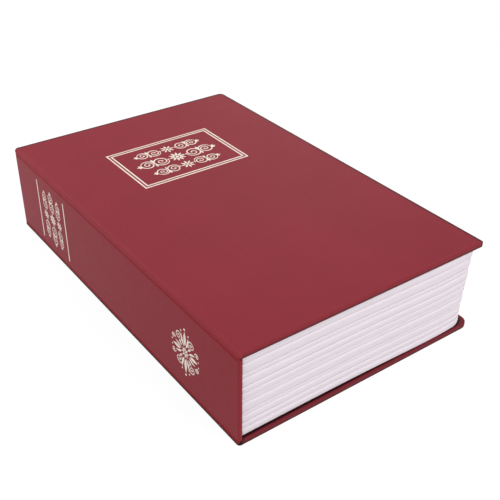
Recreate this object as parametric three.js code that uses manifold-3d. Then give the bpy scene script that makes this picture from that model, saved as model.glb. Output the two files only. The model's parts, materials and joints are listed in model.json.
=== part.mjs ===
import * as THREE from 'three';
import { mergeVertices } from 'three/addons/utils/BufferGeometryUtils.js';
import Module from 'manifold-3d';

// A safe made to look like a hardback book, lying on its back cover.
// A steel cash box with a locking lid sits inside a moulded block of page edges,
// and a cloth-covered book case is bound round them.
// Millimetres. X runs from the spine to the fore edge, Y from tail to head, Z up.

// The closed book
const bookWidth = 155;
const bookHeight = 240;
const bookThickness = 55;

// Binding: boards, leatherette and endpapers
const coverBoard = 2.3;
const spineBoard = 1.6;
const leatherette = 0.4;
const endpaper = 0.25;
const glueLine = 0.05;
const turnIn = 15;
const endpaperMargin = 6;
const infillGap = 0.3;
const foldRadius = 1.2;
const foreCornerRadius = 3.2;
const spineCornerRadius = 1.3;
const hingeGap = 0.3;
const lipGap = 0.1;
const closingGap = 0.2;
const creaseDrop = 1.7;

// Moulded page block. Its head and tail bow out, most of all near the fore edge.
const foreOverhang = 1.8;
const endOverhang = 1.6;
const endBow = 1.4;
const bowPeak = 3.5;
const bowSteps = 8;
const foreRim = 12.1;
const endRim = 11.8;
const spineRim = 8.65;
const pageCornerRadius = 7;
const pageSpineRadius = 1;
const wellSpineRadius = 1;
const rimThickness = 2;
const outerWall = 2.6;
const innerWall = 1.6;
const grooveDepth = 1.2;
const plinthHeight = 0.8;
const plinthInset = 3;
const ribThickness = 1.4;
const ribPitch = 42;

// Height and reach of each ridge of the page edges, from the bottom up
const ridgeHeightShares = [7.3, 7.2, 9.2, 4.3, 11.5, 5.2, 8, 8, 10.6, 5.2, 12.8, 10.7];
const ridgeReachShares = [1, 0.8, 0.75, 0.5, 0.8, 0.5, 0.8, 0.85, 0.9, 0.6, 0.85, 1];

// Places across one ridge, and how full its rounded back is
const ridgeStepShares = [0, 0.12, 0.35, 0.65, 0.88];
const ridgeFullness = 3;

// Steel cash box and its lid
const sheetSteel = 0.8;
const lidSetDown = 2.7;
const lidGap = 0.8;
const skirtGap = 0.4;
const skirtDepth = 7;
const skirtSetback = 3.7;
const boxCornerRadius = 2.4;
const bendRadius = 1.2;
const fieldMargin = 6;
const fieldDepth = 0.6;
const fieldSlope = 1.2;
const fieldCornerRadius = 6;

// Lid hinge: curled knuckles on a pin
const hingeInset = 3.8;
const pinRadius = 1;
const pinGap = 0.2;
const pinOverhang = 0.8;
const knuckleCount = 7;
const knuckleLength = 26;
const knuckleGap = 0.4;
const knuckleRoot = 1;
const curlTurn = 285;

// Cam lock
const lockSetback = 20.8;
const lockHeadRadius = 11;
const lockHeadHeight = 2.2;
const lockChamfer = 0.5;
const barrelRadius = 9;
const barrelLength = 17;
const barrelFlats = 15.6;
const lockHoleGap = 0.3;
const plugRadius = 6;
const plugRimRadius = 7.2;
const plugRimHeight = 1.1;
const plugGap = 0.15;
const keywayLength = 8.6;
const keywayWidth = 1.7;
const keywayWaist = 2.9;
const keywayDepth = 9;
const shankSide = 7;
const shankGap = 0.15;
const camThickness = 2;
const camHubRadius = 7.5;
const camTipRadius = 4.5;
const camReach = 17;
const camGap = 0.3;
const nutAcrossFlats = 22;
const nutHeight = 4;
const nutGap = 0.15;
const washerRadius = 12;
const washerThickness = 0.8;
const camWasherRadius = 5.5;
const screwHeadRadius = 4;
const screwHeadHeight = 2.2;
const screwRadius = 1.9;
const screwGap = 0.2;
const screwLength = 7;
const recessLength = 4.6;
const recessWidth = 1;
const recessDepth = 1.2;

// Strike that the cam turns under
const strikeWidth = 24;
const strikeDepth = 7.5;
const strikeHeight = 11;
const strikeGap = 0.5;

// Drawing values
const overrun = 1;
const sharpRadius = 0.1;
const edgeLimitShare = 0.45;
const quarter = Math.PI / 2;
const degree = Math.PI / 180;
const cornerSteps = 5;
const edgeSteps = 3;
const turnedSides = 40;
const smallSides = 16;

// Levels and places worked out from the sizes above
const coverThickness = coverBoard + 2 * (leatherette + glueLine);
const spineThickness = spineBoard + 2 * (leatherette + glueLine);
const liningStack = endpaper + 2 * glueLine;
const spineFace = -bookWidth / 2;
const foreFace = bookWidth / 2;
const coverBack = spineFace + leatherette + lipGap;
const spineTop = bookThickness - coverThickness - hingeGap;
const pages = {
  xMin: spineFace + spineThickness + liningStack,
  xMax: foreFace - foreOverhang,
  half: bookHeight / 2 - endOverhang,
  zMin: coverThickness + liningStack,
  zMax: bookThickness - coverThickness - glueLine - endpaper - closingGap,
};
const well = {
  xMin: pages.xMin + spineRim,
  xMax: pages.xMax - foreRim,
  half: pages.half - endRim,
};
const lid = {
  xMax: well.xMax - lidGap,
  half: well.half - lidGap,
  top: pages.zMax - lidSetDown,
};
const curlInner = pinRadius + pinGap;
const curlOuter = curlInner + sheetSteel;
const knuckleReach = curlOuter + knuckleGap;
const hinge = { x: well.xMin + hingeInset, z: lid.top - curlOuter };
const hingeLength = knuckleCount * knuckleLength + (knuckleCount - 1) * knuckleGap;
lid.xMin = hinge.x + knuckleReach;
const box = {
  xMin: hinge.x + curlInner,
  xMax: lid.xMax - sheetSteel - skirtGap,
  half: lid.half - sheetSteel - skirtGap,
  zMin: pages.zMin,
  zMax: lid.top - sheetSteel - skirtGap,
};
const lockPlace = { x: lid.xMax - lockSetback, z: lid.top - fieldDepth };

// Heights inside the lock, measured from the face of the lid that its head sits on
const headTop = glueLine + lockHeadHeight;
const counterbore = headTop - plugRimHeight - glueLine;
const washerTop = -sheetSteel - glueLine;
const nutTop = washerTop - washerThickness - glueLine;
const camTop = -barrelLength - camGap;
const camBottom = camTop - camThickness;
const shankBottom = camBottom + plugGap;
const camWasherTop = camBottom - glueLine;
const screwSeat = camWasherTop - washerThickness - glueLine;

const colours = {
  leatherette: { color: 0x8c3c45, roughness: 0.55, metalness: 0 },
  greyboard: { color: 0x8f8a80, roughness: 0.95, metalness: 0 },
  endpaper: { color: 0xe9e2d2, roughness: 0.9, metalness: 0 },
  pages: { color: 0xe4dbe0, roughness: 0.6, metalness: 0 },
  blackSteel: { color: 0x1c1c1e, roughness: 0.45, metalness: 0.3 },
  chrome: { color: 0xc9cbcf, roughness: 0.15, metalness: 1 },
  zinc: { color: 0xb4b6ae, roughness: 0.35, metalness: 1 },
};

const wasm = await Module();
wasm.setup();

// A closed geometry as a solid that can be joined and cut
function solid(geometry) {
  const bare = geometry.clone();
  bare.deleteAttribute('normal');
  if (bare.attributes.uv) {
    bare.deleteAttribute('uv');
  }
  const merged = mergeVertices(bare);
  const vertProperties = new Float32Array(merged.attributes.position.array);
  const triVerts = new Uint32Array(merged.index.array);
  return new wasm.Manifold(new wasm.Mesh({ numProp: 3, vertProperties, triVerts }));
}

// A named piece, made from a solid
function piece(name, shape, look) {
  const mesh = shape.getMesh();
  const geometry = new THREE.BufferGeometry();
  geometry.setAttribute('position', new THREE.BufferAttribute(mesh.vertProperties, 3));
  geometry.setIndex(new THREE.BufferAttribute(mesh.triVerts, 1));
  geometry.computeVertexNormals();
  const part = new THREE.Mesh(geometry, new THREE.MeshStandardMaterial(look));
  part.name = name;
  return part;
}

// One level of a rounded rectangle. The inset draws all sides in, or all but the spine side.
// A bow moves the head and tail outwards by a sine that rises late towards the fore edge.
function ring(plan, inset, z) {
  const spineEdge = plan.xMin + (plan.flatSpine ? 0 : inset);
  const foreEdge = plan.xMax - inset;
  const end = plan.half - inset;
  const spineRadius = Math.max((plan.spineRadius ?? 0) - inset, sharpRadius);
  const foreRadius = Math.max((plan.foreRadius ?? 0) - inset, sharpRadius);
  const corners = [
    [foreEdge - foreRadius, foreRadius - end, foreRadius, -quarter],
    [foreEdge - foreRadius, end - foreRadius, foreRadius, 0],
    [spineEdge + spineRadius, end - spineRadius, spineRadius, quarter],
    [spineEdge + spineRadius, spineRadius - end, spineRadius, 2 * quarter],
  ];
  const bow = plan.bow ?? 0;
  const sideSteps = bow > 0 ? bowSteps : 1;
  const points = [];
  const add = (x, y) => {
    const share = Math.min(Math.max((x - plan.xMin) / (plan.xMax - plan.xMin), 0), 1);
    points.push(x, y + Math.sign(y) * bow * Math.sin(2 * quarter * share ** bowPeak), z);
  };
  corners.forEach(([x, y, radius, start], corner) => {
    for (let step = 0; step <= cornerSteps; step += 1) {
      const angle = start + quarter * step / cornerSteps;
      add(x + radius * Math.cos(angle), y + radius * Math.sin(angle));
    }
    const next = corners[(corner + 1) % corners.length];
    for (let step = 1; step < sideSteps && corner % 2 === 1; step += 1) {
      add(THREE.MathUtils.lerp(x, next[0], step / sideSteps), Math.sign(y) * end);
    }
  });
  return points;
}

// A solid through a stack of levels, each given as [inset, height], from the bottom up
function stack(plan, levels) {
  const rings = levels.map(([inset, z]) => ring(plan, inset, z));
  const count = rings[0].length / 3;
  const faces = [];
  for (let level = 0; level + 1 < rings.length; level += 1) {
    for (let i = 0; i < count; i += 1) {
      const a = level * count + i;
      const b = level * count + (i + 1) % count;
      faces.push(a, b, b + count, a, b + count, a + count);
    }
  }
  const last = (rings.length - 1) * count;
  for (let i = 1; i + 1 < count; i += 1) {
    faces.push(0, i + 1, i);
    faces.push(last, last + i, last + i + 1);
  }
  const geometry = new THREE.BufferGeometry();
  geometry.setAttribute('position', new THREE.Float32BufferAttribute(rings.flat(), 3));
  geometry.setIndex(faces);
  geometry.computeVertexNormals();
  return solid(geometry);
}

// A straight-sided block between two heights
function prism(plan, zMin, zMax, inset = 0) {
  return stack(plan, [[inset, zMin], [inset, zMax]]);
}

// Levels of a bend at the top of a sheet, drawn in along a quarter circle
function bendLevels(radius, top) {
  const levels = [];
  for (let step = 0; step <= edgeSteps; step += 1) {
    const angle = quarter * step / edgeSteps;
    levels.push([radius * (1 - Math.cos(angle)), top - radius * (1 - Math.sin(angle))]);
  }
  return levels;
}

// The same bend at the bottom
function footLevels(radius, bottom) {
  return bendLevels(radius, 0).reverse().map(([inset, z]) => [inset, bottom - z]);
}

function block(xMin, xMax, yMin, yMax, zMin, zMax) {
  const geometry = new THREE.BoxGeometry(xMax - xMin, yMax - yMin, zMax - zMin);
  geometry.translate((xMin + xMax) / 2, (yMin + yMax) / 2, (zMin + zMax) / 2);
  return solid(geometry);
}

// A turned part about Z, its profile given as [radius, height] from the bottom up
function turned(profile, sides = turnedSides) {
  const points = profile.map(([radius, height]) => new THREE.Vector2(radius, -height));
  const geometry = new THREE.LatheGeometry(points.reverse(), sides);
  geometry.rotateX(-quarter);
  return solid(geometry);
}

function rod(radius, zMin, zMax, sides = turnedSides) {
  return turned([[0, zMin], [radius, zMin], [radius, zMax], [0, zMax]], sides);
}

// A flat outline in X and Y, raised from one height to another
function raised(shape, zMin, zMax, curveSegments = cornerSteps) {
  const depth = zMax - zMin;
  const geometry = new THREE.ExtrudeGeometry(shape, { depth, bevelEnabled: false, curveSegments });
  geometry.translate(0, 0, zMin);
  return solid(geometry);
}

// A flat outline in X and Z, carried along Y
function carried(shape, yMin, yMax, curveSegments = smallSides) {
  const depth = yMax - yMin;
  const geometry = new THREE.ExtrudeGeometry(shape, { depth, bevelEnabled: false, curveSegments });
  geometry.rotateX(quarter);
  geometry.translate(0, yMax, 0);
  return solid(geometry);
}

// A cloth-covered board: leatherette turned in over the board, and paper pasted over the turn-ins.
// Its inner face lies at height zero and its outer face up. The lips are cloth that runs on past it.
function boundBoard(name, plan, board, lips = []) {
  const thickness = board + 2 * (leatherette + glueLine);
  const edge = Math.min(foldRadius, thickness * edgeLimitShare);
  const skin = stack(plan, [...footLevels(edge, 0), ...bendLevels(edge, thickness)]);
  const pocket = prism(plan, leatherette, thickness - leatherette, leatherette);
  const window = prism(plan, -overrun, leatherette + overrun, turnIn);
  const room = leatherette + glueLine;
  const core = prism(plan, room, thickness - room, room);
  const sheet = prism(plan, -glueLine - endpaper, -glueLine, endpaperMargin);
  const infill = prism(plan, -glueLine - endpaper, leatherette, turnIn + infillGap);
  const wrap = wasm.Manifold.union([skin.subtract(pocket).subtract(window), ...lips]);
  const group = new THREE.Group();
  group.add(
    piece(`${name}_wrap`, wrap, colours.leatherette),
    piece(`${name}_board`, core, colours.greyboard),
    piece(`${name}_lining`, sheet.add(infill), colours.endpaper),
  );
  return group;
}

const coverPlan = {
  xMin: coverBack,
  xMax: foreFace,
  half: bookHeight / 2,
  spineRadius: spineCornerRadius,
  foreRadius: foreCornerRadius,
};

function backCover() {
  const cover = boundBoard('back', coverPlan, coverBoard);
  cover.rotation.x = Math.PI;
  cover.position.z = coverThickness;
  return cover;
}

function frontCover() {
  const cover = boundBoard('front', coverPlan, coverBoard);
  cover.position.z = bookThickness - coverThickness;
  return cover;
}

// The spine stands on the back cover and stops short of the front one.
// Its cloth runs on as a thin lip to the crease beside each cover.
function spine() {
  const plan = {
    xMin: coverThickness + glueLine,
    xMax: spineTop,
    half: bookHeight / 2,
    spineRadius: spineCornerRadius,
    foreRadius: spineCornerRadius,
  };
  const lipEnd = plan.half - spineCornerRadius;
  const lipFace = spineThickness - leatherette;
  const frontCrease = bookThickness - creaseDrop;
  const lips = [
    block(creaseDrop, plan.xMin + foldRadius, -lipEnd, lipEnd, lipFace, spineThickness),
    block(plan.xMax - foldRadius, frontCrease, -lipEnd, lipEnd, lipFace, spineThickness),
  ];
  const back = boundBoard('spine', plan, spineBoard, lips);
  back.rotation.y = -quarter;
  back.position.x = spineFace + spineThickness;
  return back;
}

// Levels of the page edges: a plinth, then rounded ridges with grooves between them
function pageLevels() {
  const top = pages.zMax;
  const foot = pages.zMin + plinthHeight;
  const sum = ridgeHeightShares.reduce((total, share) => total + share, 0);
  const levels = [[plinthInset, pages.zMin], [plinthInset, foot]];
  let z = foot;
  ridgeHeightShares.forEach((heightShare, ridge) => {
    const height = (top - foot) * heightShare / sum;
    for (const step of ridgeStepShares) {
      const swell = 1 - Math.abs(2 * step - 1) ** ridgeFullness;
      levels.push([grooveDepth * (1 - ridgeReachShares[ridge] * swell), z + height * step]);
    }
    z += height;
  });
  levels.push([grooveDepth, top]);
  return levels;
}

// Hollow moulding, open underneath, with ribs across its channel
function pageFrame() {
  const plan = {
    ...pages,
    flatSpine: true,
    spineRadius: pageSpineRadius,
    foreRadius: pageCornerRadius,
    bow: endBow,
  };
  const cornerRadius = boxCornerRadius + skirtGap + sheetSteel + lidGap;
  const wellPlan = { ...well, spineRadius: wellSpineRadius, foreRadius: cornerRadius };
  const channelPlan = {
    ...plan,
    xMin: pages.xMin + innerWall,
    xMax: pages.xMax - grooveDepth - outerWall,
    half: pages.half - grooveDepth - outerWall,
  };
  const channelTop = pages.zMax - rimThickness;
  const inner = prism(wellPlan, pages.zMin - 2 * overrun, channelTop + overrun, -innerWall);
  const channel = prism(channelPlan, pages.zMin - overrun, channelTop).subtract(inner).subtract(ribs());
  const opening = prism(wellPlan, pages.zMin - overrun, pages.zMax + overrun);
  const shell = stack(plan, pageLevels()).subtract(opening).subtract(channel);
  return piece('page_frame', shell, colours.pages);
}

// Ribs that cross the channel at an even pitch, on all four sides
function ribs() {
  const across = [];
  const side = ribThickness / 2;
  const foot = pages.zMin - overrun;
  const end = pages.half + endBow;
  const count = Math.floor(well.half / ribPitch);
  for (let i = -count; i <= count; i += 1) {
    const y = i * ribPitch;
    across.push(block(pages.xMin, pages.xMax, y - side, y + side, foot, pages.zMax));
  }
  const middle = (well.xMin + well.xMax) / 2;
  for (const x of [middle - ribPitch, middle, middle + ribPitch]) {
    across.push(block(x - side, x + side, -end, end, foot, pages.zMax));
  }
  return wasm.Manifold.union(across);
}

// One curled knuckle about the hinge line. Its tail leaves the top of the curl along X
// and is turned about the line with the rest.
function knuckle(tail, turn, yMin, yMax) {
  const shape = new THREE.Shape();
  const end = quarter + curlTurn * degree;
  shape.moveTo(tail, curlInner);
  shape.lineTo(0, curlInner);
  shape.absarc(0, 0, curlInner, quarter, end, false);
  shape.absarc(0, 0, curlOuter, end, quarter, true);
  shape.lineTo(tail, curlOuter);
  shape.closePath();
  return carried(shape, yMin, yMax).rotate([0, turn, 0]).translate([hinge.x, 0, hinge.z]);
}

// Where each knuckle starts along the hinge
function knuckleStart(index) {
  return -hingeLength / 2 + index * (knuckleLength + knuckleGap);
}

// Folded box: floor, four walls, and knuckles curled out of the wall at the hinge
function cashTray() {
  const plan = { ...box, spineRadius: boxCornerRadius, foreRadius: boxCornerRadius };
  const outer = stack(plan, [...footLevels(bendRadius, box.zMin), [0, box.zMax]]);
  const inside = {
    ...plan,
    xMin: box.xMin + sheetSteel,
    xMax: box.xMax - sheetSteel,
    half: box.half - sheetSteel,
  };
  const brim = box.zMax + overrun;
  const hollow = stack(inside, [...footLevels(sheetSteel, box.zMin + sheetSteel), [0, brim]]);
  const notchSide = box.xMin + sheetSteel + knuckleGap;
  const notchHalf = hingeLength / 2 + knuckleGap;
  const notchFoot = hinge.z - knuckleReach;
  const notch = block(box.xMin - overrun, notchSide, -notchHalf, notchHalf, notchFoot, brim);
  let tray = outer.subtract(hollow).subtract(notch);
  for (let index = 0; index < knuckleCount; index += 2) {
    const start = knuckleStart(index);
    tray = tray.add(knuckle(knuckleReach + knuckleRoot, 90, start, start + knuckleLength));
  }
  return piece('cash_tray', tray, colours.blackSteel);
}

// Pressed lid: skirts on three sides, a sunken field, and knuckles on the spine side
function lidPanel() {
  const cornerRadius = boxCornerRadius + skirtGap + sheetSteel;
  const plan = { ...lid, spineRadius: sharpRadius, foreRadius: cornerRadius };
  const bottom = lid.top - sheetSteel - skirtDepth;
  const outer = stack(plan, [[0, bottom], ...bendLevels(bendRadius, lid.top)]);
  const inside = {
    ...plan,
    xMin: lid.xMin - overrun,
    xMax: lid.xMax - sheetSteel,
    half: lid.half - sheetSteel,
    foreRadius: cornerRadius - sheetSteel,
  };
  const innerBend = bendLevels(Math.max(bendRadius - sheetSteel, sharpRadius), lid.top - sheetSteel);
  const hollow = stack(inside, [[0, bottom - overrun], ...innerBend]);
  const field = {
    xMin: lid.xMin + fieldMargin,
    xMax: lid.xMax - fieldMargin,
    half: lid.half - fieldMargin,
    spineRadius: fieldCornerRadius,
    foreRadius: fieldCornerRadius,
  };
  const slope = fieldSlope / fieldDepth;
  const underside = lid.top - sheetSteel;
  const dish = stack(field, [[fieldSlope, lid.top - fieldDepth], [-overrun * slope, lid.top + overrun]]);
  const under = dish.translate([0, 0, -sheetSteel]);
  const behind = hinge.x + skirtSetback;
  const setback = block(lid.xMin - overrun, behind, -lid.half, lid.half, bottom - overrun, underside);
  let panel = outer.subtract(hollow.subtract(under)).subtract(dish).subtract(setback);
  for (let index = 1; index < knuckleCount; index += 2) {
    const start = knuckleStart(index);
    panel = panel.add(knuckle(knuckleReach + knuckleRoot, 0, start, start + knuckleLength));
  }
  const hole = lockHole(lockHoleGap, -overrun - sheetSteel, overrun);
  const cut = panel.subtract(hole.translate([lockPlace.x, 0, lockPlace.z]));
  return piece('lid_panel', cut, colours.blackSteel);
}

function hingePin() {
  const half = hingeLength / 2 + pinOverhang;
  const pin = rod(pinRadius, -half, half, smallSides).rotate([90, 0, 0]).translate([hinge.x, 0, hinge.z]);
  return piece('hinge_pin', pin, colours.zinc);
}

// Angle of sheet welded inside the fore wall, with its ledge just above the cam
function lockStrike() {
  const face = box.xMax - sheetSteel - glueLine;
  const ledge = lockPlace.z + camTop + strikeGap;
  const tip = face - strikeDepth - sheetSteel;
  const shape = new THREE.Shape();
  shape.moveTo(tip, ledge);
  shape.lineTo(face - bendRadius, ledge);
  shape.absarc(face - bendRadius, ledge + bendRadius, bendRadius, -quarter, 0, false);
  shape.lineTo(face, ledge + strikeHeight);
  shape.lineTo(face - sheetSteel, ledge + strikeHeight);
  shape.lineTo(face - sheetSteel, ledge + sheetSteel);
  shape.lineTo(tip, ledge + sheetSteel);
  shape.closePath();
  const angle = carried(shape, -strikeWidth / 2, strikeWidth / 2, edgeSteps);
  return piece('lock_strike', angle, colours.blackSteel);
}

// The barrel's section: round with two flats, grown by a fit
function lockHole(gap, zMin, zMax) {
  const flat = barrelFlats / 2 + gap;
  const round = barrelRadius + gap;
  return rod(round, zMin, zMax).intersect(block(-round, round, -flat, flat, zMin - overrun, zMax + overrun));
}

function lockBody() {
  const head = turned([
    [0, glueLine],
    [lockHeadRadius, glueLine],
    [lockHeadRadius, headTop - lockChamfer],
    [lockHeadRadius - lockChamfer, headTop],
    [0, headTop],
  ]);
  const barrel = lockHole(0, -barrelLength, headTop - lockChamfer);
  const bore = rod(plugRadius + plugGap, -barrelLength - overrun, headTop + overrun);
  const seat = rod(plugRimRadius + plugGap, counterbore, headTop + overrun);
  return piece('lock_body', head.add(barrel).subtract(bore).subtract(seat), colours.chrome);
}

function lockWasher() {
  const bottom = washerTop - washerThickness;
  const disc = rod(washerRadius, bottom, washerTop);
  const hole = lockHole(nutGap, bottom - overrun, washerTop + overrun);
  return piece('lock_washer', disc.subtract(hole), colours.zinc);
}

// Hexagon nut with its corners turned off at both faces
function lockNut() {
  const bottom = nutTop - nutHeight;
  const corner = nutAcrossFlats / 2 / Math.cos(Math.PI / 6);
  const face = nutAcrossFlats / 2;
  const geometry = new THREE.CylinderGeometry(corner, corner, nutHeight, 6);
  geometry.rotateX(quarter);
  geometry.translate(0, 0, (nutTop + bottom) / 2);
  const rise = (corner - face) / 2;
  const turnedOff = turned([
    [0, bottom],
    [face, bottom],
    [corner, bottom + rise],
    [corner, nutTop - rise],
    [face, nutTop],
    [0, nutTop],
  ]);
  const bore = rod(barrelRadius + nutGap, bottom - overrun, nutTop + overrun);
  return piece('lock_nut', solid(geometry).intersect(turnedOff).subtract(bore), colours.zinc);
}

// Keyway: a slot with a wider waist for the key's centre rib
function keyway() {
  const shape = new THREE.Shape();
  const half = keywayLength / 2;
  const side = keywayWidth / 2;
  const waist = keywayWaist / 2;
  shape.moveTo(-half, -side);
  shape.lineTo(-waist, -side);
  shape.lineTo(-side, -waist);
  shape.lineTo(side, -waist);
  shape.lineTo(waist, -side);
  shape.lineTo(half, -side);
  shape.lineTo(half, side);
  shape.lineTo(waist, side);
  shape.lineTo(side, waist);
  shape.lineTo(-side, waist);
  shape.lineTo(-waist, side);
  shape.lineTo(-half, side);
  shape.closePath();
  return raised(shape, headTop - keywayDepth, headTop + overrun);
}

function lockPlug() {
  const core = turned([
    [0, camTop + glueLine],
    [plugRadius, camTop + glueLine],
    [plugRadius, counterbore + glueLine],
    [plugRimRadius, counterbore + glueLine],
    [plugRimRadius, headTop],
    [0, headTop],
  ]);
  const side = shankSide / 2;
  const shank = block(-side, side, -side, side, shankBottom, camTop + overrun);
  const tappedTop = screwSeat + screwLength + overrun;
  const tapped = rod(screwRadius + screwGap, shankBottom - overrun, tappedTop, smallSides);
  return piece('lock_plug', core.add(shank).subtract(keyway()).subtract(tapped), colours.chrome);
}

// Flat cam: a hub and a tip joined by their tangents, pointing away from the strike when unlocked
function lockCam() {
  const centre = camReach - camTipRadius;
  const tangent = Math.acos((camHubRadius - camTipRadius) / centre);
  const shape = new THREE.Shape();
  shape.absarc(0, 0, camHubRadius, tangent, 4 * quarter - tangent, false);
  shape.absarc(centre, 0, camTipRadius, -tangent, tangent, false);
  shape.closePath();
  const side = shankSide / 2 + shankGap;
  const square = block(-side, side, -side, side, camBottom - overrun, camTop + overrun);
  const cam = raised(shape, camBottom, camTop, smallSides).rotate([0, 0, -90]).subtract(square);
  return piece('lock_cam', cam, colours.zinc);
}

function camWasher() {
  const bottom = camWasherTop - washerThickness;
  const disc = rod(camWasherRadius, bottom, camWasherTop, turnedSides);
  const hole = rod(screwRadius + screwGap, bottom - overrun, camWasherTop + overrun, smallSides);
  return piece('cam_washer', disc.subtract(hole), colours.zinc);
}

// Pan head screw with a crossed recess, driven up into the plug
function camScrew() {
  const bottom = screwSeat - screwHeadHeight;
  const dome = screwHeadHeight / 2;
  const body = turned([
    [0, bottom],
    [screwHeadRadius - dome, bottom],
    [screwHeadRadius - dome / 4, bottom + dome / 2],
    [screwHeadRadius, bottom + dome],
    [screwHeadRadius, screwSeat],
    [screwRadius, screwSeat],
    [screwRadius, screwSeat + screwLength],
    [0, screwSeat + screwLength],
  ]);
  const long = recessLength / 2;
  const wide = recessWidth / 2;
  const deep = bottom + recessDepth;
  const cross = block(-long, long, -wide, wide, bottom - overrun, deep)
    .add(block(-wide, wide, -long, long, bottom - overrun, deep));
  return piece('cam_screw', body.subtract(cross), colours.zinc);
}

function camLock() {
  const group = new THREE.Group();
  group.add(lockBody(), lockWasher(), lockNut(), lockPlug(), lockCam(), camWasher(), camScrew());
  group.position.set(lockPlace.x, 0, lockPlace.z);
  return group;
}

const bookSafe = new THREE.Group();
bookSafe.add(
  backCover(),
  spine(),
  frontCover(),
  pageFrame(),
  cashTray(),
  lockStrike(),
  lidPanel(),
  hingePin(),
  camLock(),
);

export default bookSafe;
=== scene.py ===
import json
import math

import bmesh
import bpy
import numpy as np
from mathutils import Matrix, Vector


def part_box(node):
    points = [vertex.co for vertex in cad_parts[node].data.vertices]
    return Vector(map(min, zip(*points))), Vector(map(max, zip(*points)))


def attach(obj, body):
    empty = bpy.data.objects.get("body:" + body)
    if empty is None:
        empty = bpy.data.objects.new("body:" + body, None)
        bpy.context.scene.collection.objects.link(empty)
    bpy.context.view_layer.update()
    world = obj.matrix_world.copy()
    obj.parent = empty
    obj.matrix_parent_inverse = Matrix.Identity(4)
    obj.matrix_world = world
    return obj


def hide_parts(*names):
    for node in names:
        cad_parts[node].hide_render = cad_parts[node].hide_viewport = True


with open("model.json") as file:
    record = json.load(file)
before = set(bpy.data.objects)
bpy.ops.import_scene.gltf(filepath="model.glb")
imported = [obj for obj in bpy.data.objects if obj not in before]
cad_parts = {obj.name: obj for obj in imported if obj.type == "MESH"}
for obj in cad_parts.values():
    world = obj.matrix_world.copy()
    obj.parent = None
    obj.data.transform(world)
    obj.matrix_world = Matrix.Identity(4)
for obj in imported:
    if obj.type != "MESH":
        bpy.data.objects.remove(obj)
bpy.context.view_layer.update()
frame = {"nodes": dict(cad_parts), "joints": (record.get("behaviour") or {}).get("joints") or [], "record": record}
mm = 0.001
turn = 2 * math.pi
cornerSteps = 10  # round each corner of an outline
leastRadius = 0.05  # of a corner that its inset has used up
sharpAngle = 35  # in degrees, above which an edge counts as sharp


def cad(node):
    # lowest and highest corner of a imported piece, in millimetres
    return tuple(np.array(corner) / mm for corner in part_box(node))


coverLow, coverHigh = cad("front_wrap")
backLow, backHigh = cad("back_wrap")
spineLow, spineHigh = cad("spine_wrap")
pagesLow, pagesHigh = cad("page_frame")
hinges = {joint["name"]: np.array(joint["pos_m"]) / mm for joint in frame["joints"]}
creaseHeight = hinges["cover_hinge"][2]
creaseDrop = coverHigh[2] - creaseHeight
print("frame loaded:", len(frame["nodes"]), "nodes")


# Meshes

def addObject(name, data):
    made = bpy.data.objects.new(name, data)
    bpy.context.scene.collection.objects.link(made)
    return made


def addMesh(name, points, faces, sharp=sharpAngle, **attributes):
    # points in millimetres; each attribute holds one number for every point
    mesh = bpy.data.meshes.new(name)
    mesh.from_pydata((np.asarray(points) * mm).tolist(), [], faces)
    for key, values in attributes.items():
        held = mesh.attributes.new(key, "FLOAT", "POINT")
        held.data.foreach_set("value", np.asarray(values, np.float32))
    shell = bmesh.new()
    shell.from_mesh(mesh)
    bmesh.ops.recalc_face_normals(shell, faces=shell.faces)
    shell.to_mesh(mesh)
    shell.free()
    mesh.shade_smooth()
    mesh.set_sharp_from_angle(angle=math.radians(sharp))
    return addObject(name, mesh)


def loft(rings, closed=False):
    # rings is rows by columns by xyz. Quads join each ring to the next, and the columns wrap round.
    # Closed rows wrap as well; open ones end in a flat face.
    rows, columns = rings.shape[:2]
    index = np.arange(rows * columns).reshape(rows, columns)
    below = index if closed else index[:-1]
    above = np.roll(index, -1, 0) if closed else index[1:]
    quads = np.stack([below, np.roll(below, -1, 1), np.roll(above, -1, 1), above], -1).reshape(-1, 4)
    faces = quads.tolist()
    if not closed:
        faces += [index[0, ::-1].tolist(), index[-1].tolist()]
    return rings.reshape(-1, 3), faces


def joinShells(shells):
    # several (points, faces) put together as one
    points, faces, start = [], [], 0
    for shellPoints, shellFaces in shells:
        points.append(shellPoints)
        faces += [[corner + start for corner in face] for face in shellFaces]
        start += len(shellPoints)
    return np.concatenate(points), faces


def roundedOutline(plan, inset=0.0, along=((), (), (), ())):
    # A rectangle with quarter-circle corners, anticlockwise from the tail corner at the fore edge. A
    # radius is one number, or a pair for tail and head. The inset draws the sides in, but not a flat
    # spine side, and along holds the shares of each straight side where a point lies. A bow moves head
    # and tail out by a sine of the share of the way to the fore edge, raised to a power.
    spine = plan["xMin"] + (0 if plan.get("flatSpine") else inset)
    fore = plan["xMax"] - inset
    end = plan["half"] - inset
    tailSpine, headSpine = np.maximum(np.broadcast_to(plan["spineRadius"], 2) - inset, leastRadius)
    tailFore, headFore = np.maximum(np.broadcast_to(plan["foreRadius"], 2) - inset, leastRadius)
    corners = [
        (fore - tailFore, tailFore - end, tailFore, -0.25),
        (fore - headFore, end - headFore, headFore, 0.0),
        (spine + headSpine, end - headSpine, headSpine, 0.25),
        (spine + tailSpine, tailSpine - end, tailSpine, 0.5),
    ]
    arcs = []
    for x, y, radius, start in corners:
        angle = turn * (start + np.linspace(0, 0.25, cornerSteps + 1))
        arcs.append(np.stack([x + radius * np.cos(angle), y + radius * np.sin(angle)], 1))
    runs = []
    for corner, shares in enumerate(along):
        first, last = arcs[corner][-1], arcs[(corner + 1) % 4][0]
        runs += [arcs[corner], first + (last - first) * np.reshape(shares, (-1, 1))]
    outline = np.concatenate(runs)
    if "bow" in plan:
        share = np.clip((outline[:, 0] - plan["xMin"]) / (plan["xMax"] - plan["xMin"]), 0, 1)
        outline[:, 1] += np.sign(outline[:, 1]) * plan["bow"] * np.sin(math.pi * share ** plan["bowPeak"])
    return outline


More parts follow.
